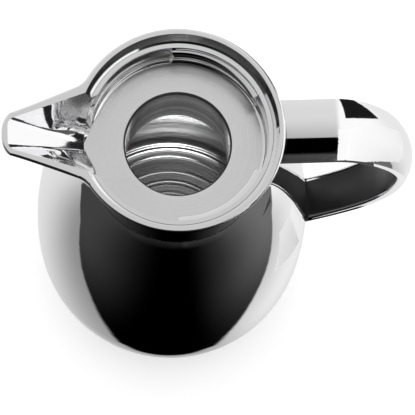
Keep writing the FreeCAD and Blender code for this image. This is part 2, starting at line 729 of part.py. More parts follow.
def handle_form(section, start):
    """Arm and bend of one section, cut to the collar and to the pad on the body."""
    root = V(start, 0, ARM_INNER)
    wire = section(root, V(1, 0, 0), ARM_WIDTH, ARM_THICKNESS)
    arm = Part.Face(wire).extrude(V(ARM_BEND_START - start, 0, 0))
    loft = Part.makeLoft([section(*station) for station in handle_stations()], True, False)
    whole = arm.fuse(loft).cut(collar_outside())
    return whole.cut(body_solid(PAD_THICKNESS))


def arm_screw(y, grow):
    """Screw from the collar's pocket into the arm, or its hole when grown."""
    height = RIM - ARM_SCREW_DROP
    seat = POCKET_RADIUS + SEAT
    way = V(1, 0, 0)
    head_start = V(seat, y, height)
    head_length = SCREW_HEAD_HEIGHT + grow
    if grow > 0:
        head_start = V(LID_RING_FOOT, y, height)
        head_length = seat - head_start.x + SCREW_HEAD_HEIGHT + grow
    head = Part.makeCylinder(SCREW_HEAD_RADIUS + grow, head_length, head_start, way)
    shank = Part.makeCylinder(SCREW_RADIUS + grow, ARM_SCREW_LENGTH + grow, V(seat, y, height), way)
    return head.fuse(shank)


def without_arm_screws(shape, clearance):
    """A piece with the holes for both arm screws."""
    for y in (-0.5 * ARM_SCREW_SPACING, 0.5 * ARM_SCREW_SPACING):
        shape = shape.cut(arm_screw(y, clearance))
    return shape


def handle_upper_screws():
    """Two screws that hold the arm to the collar, hidden behind the lid ring."""
    half = 0.5 * ARM_SCREW_SPACING
    return Part.makeCompound([arm_screw(-half, 0), arm_screw(half, 0)])


def peg_form(radius, length):
    """Round bar along the lower arm, from inside the body into the handle's end."""
    place, way = along(LOWER_LINE, 1.0)
    out = V(-way.z, 0, way.x)
    middle = place + out * (0.5 * END_THICKNESS)
    start = middle + way * (2 * END_THICKNESS)
    return Part.makeCylinder(radius, length + 2 * END_THICKNESS, start, way * -1)


def handle_peg():
    """Peg welded to the body, which the lower end of the handle is pushed over."""
    return peg_form(PEG_RADIUS, PEG_LENGTH).cut(body_solid(0))


def handle_frame():
    """Polished handle casting with a groove for the inlay and its screw holes."""
    def groove(place, way, width, thickness):
        opening = min(thickness, GROOVE_OPEN_SHARE * BEND_TIGHTEST)
        return inlay_section(place, way, width, -opening, INLAY_THICKNESS)

    frame = handle_form(crowned_section, NECK_RADIUS).cut(handle_form(groove, INLAY_START))
    frame = without_arm_screws(frame, 0.5 * SEAT)
    return frame.cut(peg_form(PEG_RADIUS + SEAT, PEG_LENGTH + SEAT))


def handle_inlay():
    """Dark grip inlay along the inside of the handle."""
    def band(place, way, width, thickness):
        return inlay_section(place, way, width, 0, INLAY_THICKNESS)

    return handle_form(band, INLAY_START)


def handle_pad():
    """Thin pad between the handle's lower end and the body."""
    loft = Part.makeLoft([crowned_section(*station) for station in handle_stations()], True, False)
    layer = body_solid(PAD_THICKNESS).cut(body_solid(0))
    return loft.common(layer).cut(peg_form(PEG_RADIUS + SEAT, PEG_LENGTH + SEAT))


PIECES = {
    "outer_shell": outer_shell,
    "inner_flask": inner_flask,
    "flask_bottom": flask_bottom,
    "flask_foil": flask_foil,
    "getter_cup": getter_cup,
    "neck_ring": neck_ring,
    "vacuum_base": vacuum_base,
    "vacuum_plug": vacuum_plug,
    "base_cover": base_cover,
    "foot_pad": foot_pad,
    "spout_collar": spout_collar,
    "lid_ring": lid_ring,
    "pour_ring": pour_ring,
    "mouth_seal": mouth_seal,
    "collar_nut": collar_nut,
    "shoulder_gasket": shoulder_gasket,
    "handle_frame": handle_frame,
    "handle_inlay": handle_inlay,
    "handle_pad": handle_pad,
    "handle_peg": handle_peg,
    "handle_upper_screws": handle_upper_screws,
}

os.makedirs("parts", exist_ok=True)
for name, make in PIECES.items():
    shape = make()
    solids = shape.Solids
    print(name, "solids", len(solids), "valid", shape.isValid(), "volume", round(shape.Volume, 1), "mm3")
    shape = solids[0] if len(solids) == 1 else Part.makeCompound(solids)
    shape.exportStep("parts/" + name + ".step")
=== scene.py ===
# %% [markdown]
# This lesson dresses a steel thermal carafe in Blender.
# The construction model is already made, and arrives as a frame of named pieces, in metres.
# The pieces keep their places; here they get finishes, finer edges, a studio and a camera.

# %% Load the frame
import bpy
import bmesh
import json
import math
from mathutils import Matrix, Vector


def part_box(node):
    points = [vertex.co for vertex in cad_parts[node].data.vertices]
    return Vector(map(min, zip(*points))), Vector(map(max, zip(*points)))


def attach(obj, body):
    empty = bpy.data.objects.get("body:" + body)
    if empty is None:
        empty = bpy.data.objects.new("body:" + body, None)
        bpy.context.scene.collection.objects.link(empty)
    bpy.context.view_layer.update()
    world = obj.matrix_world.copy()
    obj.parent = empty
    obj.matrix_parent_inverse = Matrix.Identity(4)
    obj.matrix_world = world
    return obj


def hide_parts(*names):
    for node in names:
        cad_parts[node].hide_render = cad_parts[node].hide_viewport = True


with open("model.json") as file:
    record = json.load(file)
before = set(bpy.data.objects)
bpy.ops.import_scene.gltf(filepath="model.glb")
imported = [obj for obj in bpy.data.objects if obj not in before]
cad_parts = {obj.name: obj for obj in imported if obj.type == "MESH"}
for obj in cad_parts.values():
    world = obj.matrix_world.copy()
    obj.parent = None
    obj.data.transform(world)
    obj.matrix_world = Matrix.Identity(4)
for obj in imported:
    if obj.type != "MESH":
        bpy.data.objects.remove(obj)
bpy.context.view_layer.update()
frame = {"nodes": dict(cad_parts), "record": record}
nodes = frame["nodes"]
scene = bpy.context.scene
scene.view_settings.view_transform = "Standard"
MM = 0.001

# %% [markdown]
# The photograph looks down into the open mouth from a little in front, with a long lens.
# A camera could be placed by hand and nudged, but the rim, the mouth and the base are circles,
# and their sizes in the picture give the viewpoint: distance, direction, tilt and lens.
# So the camera is written as those few numbers, round a point on the level of the rim.

# %% Camera
rim_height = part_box("spout_collar")[1].z
look_at = Vector((10.1 * MM, -32.9 * MM, rim_height))
distance = 850 * MM
azimuth = math.radians(-10.42)
elevation = math.radians(74.52)
roll = math.radians(8.43)
picture_side = 415
focal_pixels = 2144.9

back = Vector((
    math.sin(azimuth) * math.cos(elevation),
    -math.cos(azimuth) * math.cos(elevation),
    math.sin(elevation),
))
sideways = Vector((math.cos(azimuth), math.sin(azimuth), 0))
upright = back.cross(sideways)
right = sideways * math.cos(roll) + upright * math.sin(roll)
top = upright * math.cos(roll) - sideways * math.sin(roll)

camera = bpy.data.objects.new("camera", bpy.data.cameras.new("camera"))
scene.collection.objects.link(camera)
camera.data.lens = focal_pixels * camera.data.sensor_width / picture_side
camera.data.clip_end = 10
axes = Matrix((right, top, back)).transposed().to_4x4()
camera.matrix_world = Matrix.Translation(look_at + back * distance) @ axes
scene.camera = camera
print("lens:", round(camera.data.lens, 1), "mm, camera at", tuple(round(c, 3) for c in camera.location))

# %% [markdown]
# Finishes are built from small networks of shader nodes.
# Wiring them by hand takes a lot of lines, so one helper adds a node, sets its values,
# and links any value that is itself an output of another node.
# Three more wrap the nodes that come up most: a soft step, a sum or product, and a mix.

# %% Node helpers
def add_node(tree, kind, values=None, **settings):
    """Adds a shader node; values are its inputs by name or number, as constants or as outputs to link."""
    node = tree.nodes.new(kind)
    for name, value in settings.items():
        setattr(node, name, value)
    for key, value in (values or {}).items():
        if isinstance(value, bpy.types.NodeSocket):
            tree.links.new(value, node.inputs[key])
        else:
            node.inputs[key].default_value = value
    return node


def eased(tree, value, low, high, start=0.0, end=1.0):
    """A value mapped from low..high to start..end with a soft step."""
    values = {"Value": value, "From Min": low, "From Max": high, "To Min": start, "To Max": end}
    return add_node(tree, "ShaderNodeMapRange", values, interpolation_type="SMOOTHSTEP").outputs["Result"]


def maths(tree, operation, first, second):
    """A sum, difference, product or maximum of two numbers."""
    return add_node(tree, "ShaderNodeMath", {0: first, 1: second}, operation=operation).outputs["Value"]


def mixed(tree, factor, first, second):
    """A mix of two numbers."""
    return add_node(tree, "ShaderNodeMix", {0: factor, 2: first, 3: second}).outputs[0]


# %% [markdown]
# Polished steel has almost no colour of its own: what it shows is the room round it.
# Behind the carafe the studio is pale, and in front, where the photographer stands, it is dark.
# Lamps and cards could give those reflections, but a world shader that depends only on
# direction does the same with a few soft steps, and it stays put when the camera moves.
# First comes the pale half, a number that follows the direction of the ray:
# light grey overhead and on the left, white on the right, brighter towards the back.

# %% World: pale half
world = bpy.data.worlds.new("studio")
scene.world = world
world.use_nodes = True
sky = world.node_tree
sky.nodes.clear()
direction = add_node(sky, "ShaderNodeTexCoord").outputs["Generated"]
axis = add_node(sky, "ShaderNodeSeparateXYZ", {0: direction}).outputs

rise = eased(sky, axis["Z"], 0.0, 0.6)
left_low = eased(sky, axis["Y"], -0.25, 0.35, 0.30, 0.80)
left_high = eased(sky, axis["Y"], -0.2, 0.7, 0.48, 0.75)
left = mixed(sky, rise, left_low, left_high)
white_back = eased(sky, axis["Y"], -0.32, 0.08, 0.74, 1.06)
white_low = eased(sky, axis["Z"], -0.6, 0.25, 0.82, 1.0)
white = maths(sky, "MULTIPLY", white_back, white_low)
pale = mixed(sky, eased(sky, axis["X"], 0.08, 0.30), left, white)
print("nodes of the pale half:", len(sky.nodes))

# %% [markdown]
# The dark half is black straight ahead and dark grey at the side walls, most where they meet the pale half.
# Above the photographer is a grey ceiling, lighter on the right, and black again round the lens.

# %% World: dark half
wall_left = eased(sky, axis["X"], -0.15, -0.95, 0.0, 0.055)
wall_right = eased(sky, axis["X"], 0.1, 1.0, 0.0, 0.165)
near_border = eased(sky, axis["Y"], -1.0, -0.3, 0.3, 1.0)
walls = maths(sky, "MULTIPLY", maths(sky, "ADD", wall_left, wall_right), near_border)
ceiling_tone = eased(sky, axis["X"], 0.04, 0.12, 0.035, 0.075)
ceiling = maths(sky, "MULTIPLY", eased(sky, axis["Z"], 0.4, 0.75), ceiling_tone)
lens_side = eased(sky, axis["Z"], 0.74, 0.82, 1.0, 0.0)
above = maths(sky, "MULTIPLY", ceiling, lens_side)
dark = maths(sky, "ADD", walls, above)
print("nodes of both halves:", len(sky.nodes))

# %% [markdown]
# The border between the halves runs a little in front of the carafe, and it wanders with the height,
# as the edge of a room does in a round mirror. A float curve draws that line: height in, border out.
# The curve works between 0 and 1, so the height is halved and shifted on its way in,
# and the border is shifted back on its way out.

# %% World: border
border_line = [
    (-1.0, -0.08), (-0.95, -0.17), (-0.85, -0.23), (-0.45, -0.25), (-0.12, -0.10),
    (0.0, -0.01), (0.08, 0.05), (0.3, 0.0), (0.7, -0.075), (1.0, -0.085),
]
border_softness = 0.014
half_height = maths(sky, "ADD", maths(sky, "MULTIPLY", axis["Z"], 0.5), 0.5)
border_node = add_node(sky, "ShaderNodeFloatCurve", {"Value": half_height})
places = [(0.5 * height + 0.5, forward + 0.5) for height, forward in border_line]
drawn = border_node.mapping.curves[0].points
drawn[0].location = places[0]
drawn[-1].location = places[-1]
for place in places[1:-1]:
    drawn.new(*place)
border_node.mapping.update()
border = maths(sky, "SUBTRACT", border_node.outputs["Value"], 0.5)
side = eased(sky, maths(sky, "SUBTRACT", axis["Y"], border), -border_softness, border_softness)
room = mixed(sky, side, dark, pale)
print("points of the border:", len(drawn))

# %% [markdown]
# Behind the handle stands a dark card, which gives the bend of the handle its black corner. It is
# a region of direction too, a product of three soft steps. Only mirrored rays see this room:
# the light on matt surfaces stays even and plain.

# %% World: dark corner and output
corner_tone = 0.012
slant = maths(sky, "SUBTRACT", axis["X"], maths(sky, "MULTIPLY", axis["Z"], 0.30))
corner = maths(sky, "MULTIPLY", eased(sky, slant, 0.23, 0.26), eased(sky, axis["Z"], -0.25, -0.21))
corner = maths(sky, "MULTIPLY", corner, eased(sky, axis["Y"], 0.55, 0.57))
mirrored = mixed(sky, corner, room, corner_tone)

ray = add_node(sky, "ShaderNodeLightPath").outputs
plain = maths(sky, "MAXIMUM", ray["Is Camera Ray"], ray["Is Diffuse Ray"])
strength = mixed(sky, plain, mirrored, 1.0)
background = add_node(sky, "ShaderNodeBackground", {"Color": (1, 1, 1, 1), "Strength": strength})
add_node(sky, "ShaderNodeOutputWorld", {"Surface": background.outputs[0]})
world.cycles.sampling_method = "NONE"
mirror_bounces = 16
scene.cycles.max_bounces = mirror_bounces
scene.cycles.glossy_bounces = mirror_bounces
print("world nodes:", len(sky.nodes))

# %% [markdown]
# The stage is a floor and a few cards, all flat sheets of paper. The paper is a little
# cloudy, and a faint glow lifts it where the light falls short.

# %% Stage helpers
def stage_sheet(name, corners):
    """A flat sheet through its corners, in millimetres."""
    mesh = bpy.data.meshes.new(name)
    mesh.from_pydata([tuple(c * MM for c in corner) for corner in corners], [], [range(len(corners))])
    sheet = bpy.data.objects.new(name, mesh)
    scene.collection.objects.link(sheet)
    return sheet


def level_corners(low, high, height):
    """The corners of a level sheet."""
    return [(low[0], low[1], height), (high[0], low[1], height),
            (high[0], high[1], height), (low[0], high[1], height)]


def paper(name, tone, glow, camera_only):
    """Paper with a faint cloudiness, and a little glow that lifts it."""
    material = bpy.data.materials.new(name)
    material.use_nodes = True
    tree = material.node_tree
    shader = tree.nodes["Principled BSDF"]
    cloud = add_node(tree, "ShaderNodeTexNoise", {"Scale": 40.0, "Detail": 4.0}).outputs["Fac"]
    ramp = add_node(tree, "ShaderNodeValToRGB", {"Fac": cloud})
    darker = 0.98 * tone
    ramp.color_ramp.elements[0].color = (darker, darker, darker, 1)
    ramp.color_ramp.elements[1].color = (tone, tone, tone, 1)
    tree.links.new(ramp.outputs["Color"], shader.inputs["Base Color"])
    shader.inputs["Roughness"].default_value = 0.9
    shader.inputs["Specular IOR Level"].default_value = 0
    shader.inputs["Emission Color"].default_value = (1, 1, 1, 1)
    if camera_only:
        seen = add_node(tree, "ShaderNodeLightPath").outputs["Is Camera Ray"]
        tree.links.new(maths(tree, "MULTIPLY", seen, glow), shader.inputs["Emission Strength"])
    else:
        shader.inputs["Emission Strength"].default_value = glow
    return material


# %% [markdown]
# The floor is a plain pale sheet, and it only has to catch the soft shadow under the carafe.
# One large quad does it. The steel mirrors the studio instead of this sheet.

# %% Floor
floor_reach = 2000
floor_drop = 0.1
floor = stage_sheet("floor", level_corners((-floor_reach, -floor_reach), (floor_reach, floor_reach), -floor_drop))
floor.visible_glossy = False
floor.data.materials.append(paper("pale_paper", 0.985, 0.28, True))
print("floor:", floor.dimensions[:2])

# %% [markdown]
# The cards stay out of the picture and show in the steel only. White ones over the handle and beside it
# turn its bend white, and soft and grey ones under it give the flanks of its two arms their tone.
# A dark one stands over the edge of the bowl and darkens the foot of the spout's channel.
# It leans along the mirrored view, so that the arm beside it shows no trace of it.

# %% Cards
white_paper = paper("white_card", 0.985, 0.2, False)
soft_paper = paper("soft_card", 0.92, 0.08, False)
grey_paper = paper("grey_card", 0.085, 0.0, False)
dark_paper = paper("dark_card", 0.02, 0.0, False)
bowl_edge = [(-45, 204), (60, 204), (60, 221), (-45, 225)]
bend_edge = [(-98, 262), (-90, 236), (-39, 188), (-16, 160), (-12, 152), (20, 152), (20, 262)]
roof_edge = [(82, -155), (250, -155), (330, -60), (330, 20), (82, 20)]
bowl_side, bowl_level, bowl_lean = 43, 198, 0.1
bend_side = 120
roof_height = 300
cards = {
    stage_sheet("floor_card", level_corners((98, -52), (170, 0), 1)): soft_paper,
    stage_sheet("low_card", level_corners((62, -41), (105, -18), 75)): soft_paper,
    stage_sheet("arm_card", level_corners((44, -28), (84, -19), 150)): grey_paper,
    stage_sheet("high_card", [(x, y, roof_height) for x, y in roof_edge]): white_paper,
    stage_sheet("bend_card", [(bend_side, y, z) for y, z in bend_edge]): white_paper,
    stage_sheet("bowl_card", [(bowl_side + bowl_lean * (z - bowl_level), y, z) for y, z in bowl_edge]): dark_paper,
}
for sheet, material in cards.items():
    sheet.visible_camera = False
    sheet.visible_diffuse = False
    sheet.visible_shadow = False
    sheet.data.materials.append(material)
print("cards:", len(cards))

# %% [markdown]
# The inside of the flask gets its light through the mouth, and a closed steel vessel swallows most of it.
# A photographer would hold a small lamp over the opening. A spot lamp with a narrow cone does that,
# so that it lights the inside and leaves the collar as it is.

# %% Lamp over the mouth
mouth_centre = Vector((0, 0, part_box("pour_ring")[1].z))
lamp_way = Vector((0.0, -0.26, 0.966)).normalized()
lamp_distance = 500 * MM
lit_radius = 18 * MM
lamp = bpy.data.objects.new("mouth_lamp", bpy.data.lights.new("mouth_lamp", "SPOT"))
scene.collection.objects.link(lamp)
lamp.data.energy = 5.5
lamp.data.spot_size = 2 * math.atan(lit_radius / lamp_distance)
lamp.data.spot_blend = 0.05
lamp.data.shadow_soft_size = 7 * MM
lamp.location = mouth_centre + lamp_way * lamp_distance
lamp.rotation_euler = lamp_way.to_track_quat("Z", "Y").to_euler()
lamp.visible_camera = False
print("lamp cone:", round(math.degrees(lamp.data.spot_size), 2), "degrees")

# %% [markdown]
# Every finish starts the same way: a new material, its shader, and the place on the part in metres,
# from which patterns can be measured in real millimetres. A few helpers keep each recipe short.
# The first ones make patterns: noise for uneven patches, cells for moulded grain and facets,
# and the height or the distance from the carafe's axis for turned and drawn rings.

# %% Pattern helpers
looks = {}


def finish(slot, metallic):
    """A new finish for a material slot: its node tree, its shader, and the place on the part."""
    material = bpy.data.materials.new(slot)
    material.use_nodes = True
    looks[slot] = material
    tree = material.node_tree
    shader = tree.nodes["Principled BSDF"]
    shader.inputs["Metallic"].default_value = metallic
    print("finish:", slot)
    return tree, shader, add_node(tree, "ShaderNodeTexCoord").outputs["Object"]


def patches(tree, place, size, detail=3.0, stretch=(1, 1, 1)):
    """Uneven patches of about the given size; stretch makes them longer along an axis."""
    scaled = add_node(tree, "ShaderNodeVectorMath", {0: place, 1: stretch}, operation="MULTIPLY").outputs["Vector"]
    values = {"Vector": scaled, "Scale": 1 / size, "Detail": detail}
    return add_node(tree, "ShaderNodeTexNoise", values).outputs["Fac"]


def cells(tree, place, size, feature):
    """Cells of about the given size, as the distance from the middle of each."""
    values = {"Vector": place, "Scale": 1 / size}
    return add_node(tree, "ShaderNodeTexVoronoi", values, feature=feature).outputs["Distance"]


def axis_height(tree, place):
    """How high a point is, in metres."""
    return add_node(tree, "ShaderNodeSeparateXYZ", {0: place}).outputs["Z"]


def axis_distance(tree, place):
    """How far a point is from the carafe's upright axis, in metres."""
    flat = add_node(tree, "ShaderNodeVectorMath", {0: place, 1: (1, 1, 0)}, operation="MULTIPLY").outputs["Vector"]
    return add_node(tree, "ShaderNodeVectorMath", {0: flat}, operation="LENGTH").outputs["Value"]


def lines(tree, along, pitch):
    """Uneven fine lines across a distance: one-dimensional noise with the given pitch."""
    values = {"W": along, "Scale": 1 / pitch, "Detail": 2.0}
    return add_node(tree, "ShaderNodeTexNoise", values, noise_dimensions="1D").outputs["Fac"]


def weighted(tree, first, second, share):
    """A blend of two patterns, with the given share of the second."""
    rest = maths(tree, "MULTIPLY", first, 1 - share)
    return maths(tree, "ADD", rest, maths(tree, "MULTIPLY", second, share))


# %% [markdown]
# The other helpers lay a pattern on the shader: as a blend of two colours, as a change of roughness,
# or as a bump, which turns it into fine relief.

# %% Shader helpers
def coloured(tree, shader, factor, first, second):
    """Blends the base colour from first to second."""
    blend = add_node(tree, "ShaderNodeMix", {0: factor, 6: (*first, 1), 7: (*second, 1)}, data_type="RGBA")
    tree.links.new(blend.outputs[2], shader.inputs["Base Color"])


def roughened(tree, shader, factor, smooth, rough):
    """Lets the roughness run from smooth to rough."""
    tree.links.new(eased(tree, factor, 0.3, 0.7, smooth, rough), shader.inputs["Roughness"])


def raised(tree, shader, height, depth, strength):
    """Fine relief: height 0..1 stands for depth in metres."""
    relief = add_node(tree, "ShaderNodeBump", {"Height": height, "Distance": depth, "Strength": strength})
    tree.links.new(relief.outputs["Normal"], shader.inputs["Normal"])


# %% [markdown]
# The body is a steel pressing, polished on a wheel until it mirrors the room.
# Even a good polish leaves a faint haze in patches and hairlines round the body, where it turned
# against the wheel. Both only change how sharp the mirror is, so they go into the roughness.

# %% Polished body
tree, shader, place = finish("polished_steel", 1)
haze = patches(tree, place, 30 * MM)
hairlines = lines(tree, axis_height(tree, place), 0.35 * MM)
coloured(tree, shader, haze, (0.90, 0.90, 0.91), (0.93, 0.93, 0.935))
roughened(tree, shader, weighted(tree, haze, hairlines, 0.4), 0.02, 0.05)

# %% [markdown]
# Collar, lid ring and handle are castings, ground and polished by hand, so their hairlines run every way.
# Stretched noise in two directions gives short strokes, and a broader patch where a thumb has dulled it.

# %% Polished castings
tree, shader, place = finish("polished_collar", 1)
across = patches(tree, place, 1.2 * MM, 2.0, (1, 0.12, 0.5))
crossing = patches(tree, place, 1.4 * MM, 2.0, (0.12, 1, 0.5))
strokes = maths(tree, "MAXIMUM", across, crossing)
dulled = patches(tree, place, 18 * MM)
coloured(tree, shader, dulled, (0.89, 0.89, 0.90), (0.925, 0.925, 0.93))
roughened(tree, shader, weighted(tree, strokes, dulled, 0.5), 0.025, 0.06)

# %% [markdown]
# The ring round the mouth is turned on a lathe and left satin, so it shows an even grey and no mirror.
# Fine rings round the axis, uneven in depth, roughen it and give it the turned grain.

# %% Satin pour ring
tree, shader, place = finish("pour_steel", 1)
turned = lines(tree, axis_distance(tree, place), 0.12 * MM)
cloud = patches(tree, place, 12 * MM)
coloured(tree, shader, weighted(tree, turned, cloud, 0.5), (0.80, 0.80, 0.80), (0.88, 0.88, 0.88))
roughened(tree, shader, turned, 0.22, 0.32)
raised(tree, shader, turned, 0.004 * MM, 0.3)

# %% [markdown]
# The flask is deep-drawn steel. Drawing and spinning leave rings on its wall, and on its floor
# round the middle, each a shade lighter or darker and slightly wavy. The wall's rings follow the height,
# the floor's the distance from the axis, so the sum of both serves for all.
# The rings also change how dull the steel is, except in the throat, which has one even sheen.

# %% Drawn flask
tree, shader, place = finish("flask_steel", 1)
height = axis_height(tree, place)
along = maths(tree, "ADD", axis_distance(tree, place), height)
rings = weighted(tree, lines(tree, along, 7 * MM), lines(tree, along, 0.8 * MM), 0.25)
coloured(tree, shader, eased(tree, rings, 0.35, 0.65), (0.62, 0.62, 0.62), (0.95, 0.95, 0.95))
throat_sheen = 0.2
in_throat = eased(tree, height, 149 * MM, 151 * MM)
sheen = mixed(tree, in_throat, eased(tree, rings, 0.3, 0.7, 0.18, 0.30), throat_sheen)
tree.links.new(sheen, shader.inputs["Roughness"])
raised(tree, shader, rings, 0.25 * MM, 0.6)

# %% [markdown]
# The band inside the handle is black moulded plastic with a soft gloss.
# A mould that was eroded by sparks prints a fine pebble, just under half a millimetre across.
# Fingers polish it in patches, so the roughness wanders.

# %% Black grip
tree, shader, place = finish("black_grip", 0)
pebble = cells(tree, place, 0.45 * MM, "SMOOTH_F1")
worn = patches(tree, place, 14 * MM)
coloured(tree, shader, worn, (0.012, 0.012, 0.013), (0.020, 0.020, 0.021))
roughened(tree, shader, worn, 0.30, 0.44)
raised(tree, shader, pebble, 0.02 * MM, 0.5)

# %% [markdown]
# Seals and gaskets are soft black rubber: matt, faintly mottled, with a skin like a tyre's.

# %% Seal rubber
tree, shader, place = finish("seal_rubber", 0)
mottle = patches(tree, place, 2.5 * MM, 5.0)
coloured(tree, shader, mottle, (0.013, 0.013, 0.013), (0.030, 0.029, 0.028))
roughened(tree, shader, mottle, 0.50, 0.72)
raised(tree, shader, patches(tree, place, 0.4 * MM), 0.02 * MM, 0.4)

# %% [markdown]
# The cover in the bottom is grained plastic, and the pad is a harder, greyer rubber that picks up scuffs.

# %% Base plastic and foot rubber
tree, shader, place = finish("base_plastic", 0)
grain = cells(tree, place, 0.8 * MM, "SMOOTH_F1")
coloured(tree, shader, patches(tree, place, 9 * MM), (0.022, 0.022, 0.023), (0.036, 0.036, 0.037))
roughened(tree, shader, grain, 0.42, 0.60)
raised(tree, shader, grain, 0.05 * MM, 0.6)

tree, shader, place = finish("foot_rubber", 0)
scuffs = patches(tree, place, 3 * MM, 6.0, (1, 0.25, 1))
coloured(tree, shader, scuffs, (0.028, 0.028, 0.028), (0.075, 0.073, 0.070))
roughened(tree, shader, scuffs, 0.66, 0.88)
raised(tree, shader, patches(tree, place, 0.5 * MM), 0.03 * MM, 0.5)

# %% [markdown]
# Inside the wall nobody polishes: the welded parts stay bare, rolled steel with straw-coloured heat tints.
# The tint follows slow patches round the welds, the rolling grain is noise stretched along one axis.

# %% Bare steel
tree, shader, place = finish("bare_steel", 1)
grain = patches(tree, place, 0.9 * MM, 3.0, (0.08, 1, 1))
tint = eased(tree, patches(tree, place, 11 * MM, 4.0), 0.42, 0.68)
coloured(tree, shader, tint, (0.62, 0.62, 0.63), (0.58, 0.50, 0.38))
roughened(tree, shader, grain, 0.30, 0.46)
raised(tree, shader, grain, 0.006 * MM, 0.5)

# %% [markdown]
# The sleeve in the vacuum is thin foil. It crinkles when it is wrapped, into facets a few millimetres wide.
# Cells with straight borders give the facets, and a finer noise breaks them up.

# %% Foil
tree, shader, place = finish("foil", 1)
facets = cells(tree, place, 6 * MM, "F1")
crinkle = maths(tree, "ADD", facets, maths(tree, "MULTIPLY", patches(tree, place, 1.5 * MM), 0.3))
coloured(tree, shader, facets, (0.80, 0.80, 0.82), (0.93, 0.93, 0.94))
roughened(tree, shader, crinkle, 0.12, 0.26)
raised(tree, shader, crinkle, 0.5 * MM, 0.7)

# %% [markdown]
# Screws and the peg are turned from bar, with tool marks a quarter of a millimetre apart and a dull, oily grey.

# %% Turned screws
tree, shader, place = finish("screw_steel", 1)
tool_marks = patches(tree, place, 0.25 * MM, 2.0, (1, 0.1, 0.1))
coloured(tree, shader, patches(tree, place, 4 * MM), (0.46, 0.46, 0.47), (0.62, 0.62, 0.63))
roughened(tree, shader, tool_marks, 0.24, 0.42)
raised(tree, shader, tool_marks, 0.008 * MM, 0.5)

# %% [markdown]
# The record says which finish each piece takes, so one loop dresses the whole frame.

# %% Dress the frame
for piece in frame["record"]["subparts"]:
    mesh = nodes[piece["node"]].data
    mesh.materials.clear()
    mesh.materials.append(looks[piece["material_slot"]])
print("finishes:", len(looks))

# %% [markdown]
# The ring in the bowl is where a twist-in lid locks. On the real one a groove runs under its top ledge,
# the lugs are bevelled so that the lid slides in, and a hollow round leads from its wall to the pour ring.
# The construction model has the plain ring with its lugs and its opening towards the spout.
# The fine forms are cut from a copy of it, so the opening stays exactly where it is.
# First come the outlines to cut with, in millimetres from the axis and the floor: one between the lugs,
# and one for each lug, which differ in the bevel on top.

# %% Outlines for the lid ring
pour_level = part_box("lid_ring")[0].z / MM
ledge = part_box("lid_ring")[1].z / MM
bore_radius = 30.0
lip_radius = 36.4
groove_radius = 37.8
wall_radius = 36.5
lug_radius = 33.75
hollow = 1.75
foot_rise = 0.15
foot = pour_level + foot_rise
hollow_angles = [math.radians(a) for a in range(0, 91, 10)]
hollow_round = [(wall_radius - hollow + hollow * math.cos(a), foot + hollow - hollow * math.sin(a))
                for a in hollow_angles]


def closed_cut(visible):
    """An outline to cut with: from the visible line inwards to the bore."""
    mouth = [(bore_radius, ledge + 1), (lip_radius, ledge + 1), (lip_radius, ledge - 1.3)]
    return mouth + visible + hollow_round + [(bore_radius, foot)]


under_ledge = [(groove_radius, ledge - 1.9)]
plain_cut = closed_cut(under_ledge + [(groove_radius, ledge - 5.9), (wall_radius, ledge - 7.0)])
lug_top = under_ledge + [(groove_radius, ledge - 2.8), (36.2, ledge - 3.05), (34.7, ledge - 3.25)]
far_bevel = [(34.4, ledge - 3.4), (lug_radius, ledge - 4.05)]
near_bevel = [(33.9, ledge - 3.35), (lug_radius, ledge - 3.5)]
under_lug = [(lug_radius, ledge - 4.7), (36.3, ledge - 6.0), (wall_radius, ledge - 7.1)]
far_lug_cut = closed_cut(lug_top + far_bevel + under_lug)
near_lug_cut = closed_cut(lug_top + near_bevel + under_lug)
print("points in the outlines:", len(plain_cut), len(far_lug_cut), len(near_lug_cut))

# %% [markdown]
# A cutter is an outline turned round the axis through some degrees, with a face at both ends.
# Turned outlines come back in two more pieces, so the step from bmesh to an object is a helper of its own.

# %% Cutters for the lid ring
def placed(name, bm):
    """An object from a bmesh, with its faces turned outwards."""
    bmesh.ops.recalc_face_normals(bm, faces=bm.faces)
    mesh = bpy.data.meshes.new(name)
    bm.to_mesh(mesh)
    bm.free()
    made = bpy.data.objects.new(name, mesh)
    scene.collection.objects.link(made)
    return made


def turned_point(r, z, angle):
    """A point in metres: radius and height in millimetres, turned round the axis."""
    return r * MM * math.cos(angle), r * MM * math.sin(angle), z * MM


def turned_cutter(name, outline, start, end):
    """A closed body: the outline turned round the axis from one angle to another, in degrees."""
    degrees_per_step, fewest_steps = 1.5, 8
    steps = max(fewest_steps, int((end - start) / degrees_per_step))
    bm = bmesh.new()
    rows = []
    for step in range(steps + 1):
        angle = math.radians(start + (end - start) * step / steps)
        rows.append([bm.verts.new(turned_point(r, z, angle)) for r, z in outline])
    for row, following in zip(rows, rows[1:]):
        for k in range(len(outline)):
            n = (k + 1) % len(outline)
            bm.faces.new((row[k], row[n], following[n], following[k]))
    bm.faces.new(rows[0])
    bm.faces.new(rows[-1])
    return placed(name, bm)


lug_start, lug_end = 26.0, 92.0
past_plain, past_lug = 0.05, 0.3
cutters = [
    turned_cutter("spout_side", plain_cut, lug_end - past_plain, 360 - lug_end + past_plain),
    turned_cutter("handle_side", plain_cut, -lug_start - past_plain, lug_start + past_plain),
    turned_cutter("far_lug", far_lug_cut, lug_start - past_lug, lug_end + past_lug),
    turned_cutter("near_lug", near_lug_cut, -lug_end - past_lug, -lug_start + past_lug),
]
print("cutters:", [cutter.name for cutter in cutters])

# %% [markdown]
# Boolean modifiers take the cutters away from a copy of the ring. Its corners are merged first,
# because a boolean needs closed bodies. Then the result becomes a plain mesh, and the cutters go.
# Faces that meet at a steep angle keep a sharp edge, and the others shade smoothly into each other.

